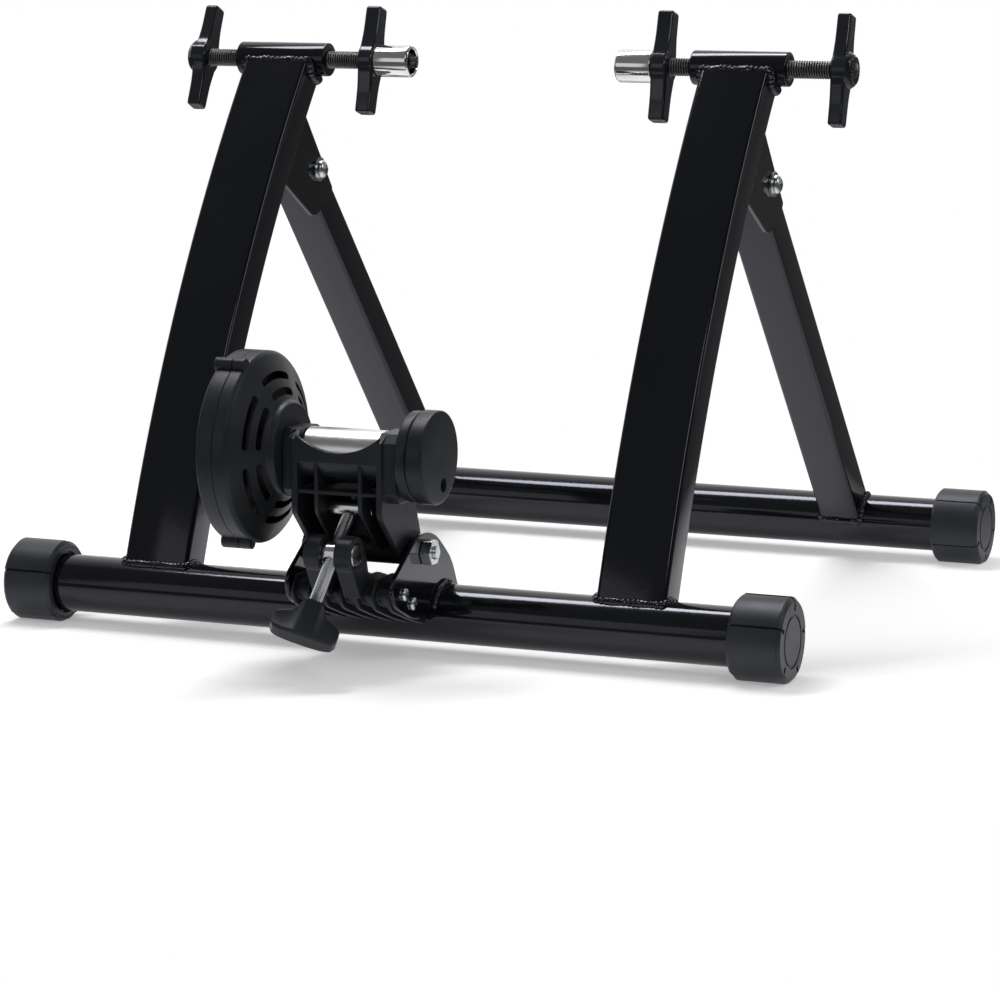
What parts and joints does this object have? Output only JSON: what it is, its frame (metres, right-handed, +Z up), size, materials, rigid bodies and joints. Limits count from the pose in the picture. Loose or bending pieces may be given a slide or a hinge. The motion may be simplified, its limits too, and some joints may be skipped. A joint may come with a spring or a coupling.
{
  "type": "folding wheel-on turbo trainer",
  "caption": "Folding steel stand that clamps a bicycle's rear axle between two screw cups and presses a magnetic resistance roller against the tyre.",
  "frame": {"origin": "centre of the footprint, on the floor", "axes": "+X to the right seen from the resistance unit's side, along both floor bars; +Y from the resistance unit to the rear bar; +Z up"},
  "size_m": [0.545, 0.6218, 0.4052],
  "materials": {
    "frame_paint": "gloss black enamel",
    "moulded_plastic": "fine-grained black moulding",
    "foot_rubber": "matt black rubber",
    "chrome": "polished",
    "zinc_steel": "bright zinc plate",
    "black_steel": "black oxide",
    "disc_aluminium": "machined"
  },
  "bodies": {
    "frame": {"front_bar": "frame_paint", "left_post": "frame_paint", "right_post": "frame_paint", "left_clamp_sleeve": "frame_paint", "right_clamp_sleeve": "frame_paint", "left_fold_bracket": "frame_paint", "right_fold_bracket": "frame_paint", "left_fold_bolt": "zinc_steel", "right_fold_bolt": "zinc_steel", "left_fold_nut": "zinc_steel", "right_fold_nut": "zinc_steel", "left_unit_plate": "frame_paint", "right_unit_plate": "frame_paint", "clevis_block": "moulded_plastic", "lower_barrel": "zinc_steel", "left_upper_plate_screw": "zinc_steel", "left_lower_plate_screw": "zinc_steel", "right_upper_plate_screw": "zinc_steel", "right_lower_plate_screw": "zinc_steel", "pivot_bolt": "zinc_steel", "pivot_nut": "zinc_steel"},
    "rear_stand": {"rear_bar": "frame_paint", "left_rear_leg": "frame_paint", "right_rear_leg": "frame_paint"},
    "front_left_cap": {"front_left_foot": "foot_rubber"},
    "front_right_cap": {"front_right_foot": "foot_rubber"},
    "rear_left_cap": {"rear_left_foot": "foot_rubber"},
    "rear_right_cap": {"rear_right_foot": "foot_rubber"},
    "left_cup": {"left_axle_cup": "chrome"},
    "right_cup": {"right_axle_cup": "chrome"},
    "left_screw": {"left_clamp_screw": "black_steel", "left_clamp_knob": "moulded_plastic"},
    "right_screw": {"right_clamp_screw": "black_steel", "right_clamp_knob": "moulded_plastic"},
    "left_lock": {"left_lock_knob": "moulded_plastic"},
    "right_lock": {"right_lock_knob": "moulded_plastic"},
    "unit": {"unit_bracket": "moulded_plastic", "left_bearing": "zinc_steel", "right_bearing": "zinc_steel", "bearing_guard": "moulded_plastic", "magnet_plate": "zinc_steel", "housing_shell": "moulded_plastic", "housing_cover": "moulded_plastic"},
    "rotor": {"roller": "chrome", "roller_shaft": "zinc_steel", "flywheel": "moulded_plastic", "drag_disc": "disc_aluminium"},
    "upper_pivot": {"upper_barrel": "zinc_steel"},
    "tensioner": {"tension_screw": "zinc_steel", "tension_knob": "moulded_plastic"}
  },
  "joints": [
    {"name": "rear_fold", "type": "hinge", "parent": "frame", "child": "rear_stand", "pos_m": [0, 0.04255, 0.29101], "axis": [-1, 0, 0], "range_deg": [0, 70]},
    {"name": "front_left_level", "type": "hinge", "parent": "frame", "child": "front_left_cap", "pos_m": [-0.255, -0.16547, 0.026], "axis": [-1, 0, 0], "continuous": true},
    {"name": "front_right_level", "type": "hinge", "parent": "frame", "child": "front_right_cap", "pos_m": [0.255, -0.16547, 0.026], "axis": [1, 0, 0], "continuous": true},
    {"name": "rear_left_level", "type": "hinge", "parent": "rear_stand", "child": "rear_left_cap", "pos_m": [-0.255, 0.28453, 0.026], "axis": [-1, 0, 0], "continuous": true},
    {"name": "rear_right_level", "type": "hinge", "parent": "rear_stand", "child": "rear_right_cap", "pos_m": [0.255, 0.28453, 0.026], "axis": [1, 0, 0], "continuous": true},
    {"name": "left_clamp_travel", "type": "slide", "parent": "frame", "child": "left_cup", "axis": [1, 0, 0], "range_m": [-0.015, 0.022]},
    {"name": "left_clamp_turn", "type": "hinge", "parent": "left_cup", "child": "left_screw", "pos_m": [-0.232, 0.03053, 0.368], "axis": [1, 0, 0], "range_deg": [-3087, 4527]},
    {"name": "left_lock_turn", "type": "hinge", "parent": "left_screw", "child": "left_lock", "pos_m": [-0.1025, 0.03053, 0.368], "axis": [1, 0, 0], "continuous": true},
    {"name": "right_clamp_travel", "type": "slide", "parent": "frame", "child": "right_cup", "axis": [-1, 0, 0], "range_m": [-0.015, 0.022]},
    {"name": "right_clamp_turn", "type": "hinge", "parent": "right_cup", "child": "right_screw", "pos_m": [0.232, 0.03053, 0.368], "axis": [-1, 0, 0], "range_deg": [-3087, 4527]},
    {"name": "right_lock_turn", "type": "hinge", "parent": "right_screw", "child": "right_lock", "pos_m": [0.112, 0.03053, 0.368], "axis": [-1, 0, 0], "continuous": true},
    {"name": "unit_tilt", "type": "hinge", "parent": "frame", "child": "unit", "pos_m": [0, -0.19647, 0.071], "axis": [-1, 0, 0], "range_deg": [-8, 8]},
    {"name": "roller_spin", "type": "hinge", "parent": "unit", "child": "rotor", "pos_m": [0, -0.22847, 0.137], "axis": [1, 0, 0], "continuous": true},
    {"name": "upper_barrel_turn", "type": "hinge", "parent": "unit", "child": "upper_pivot", "pos_m": [0, -0.22496, 0.101], "axis": [1, 0, 0], "range_deg": [-8, 8]},
    {"name": "tension_turn", "type": "hinge", "parent": "upper_pivot", "child": "tensioner", "pos_m": [0, -0.22496, 0.101], "axis": [0, 0.7274, 0.6862], "range_deg": [-1650, 1650]}
  ],
  "couplings": [
    {"joint": "left_clamp_turn", "follows": "left_clamp_travel", "rad_per_m": 3590.4},
    {"joint": "right_clamp_turn", "follows": "right_clamp_travel", "rad_per_m": 3590.4},
    {"joint": "unit_tilt", "follows": "tension_turn", "ratio": 0.0048078},
    {"joint": "upper_barrel_turn", "follows": "tension_turn", "ratio": 0.0048078}
  ]
}
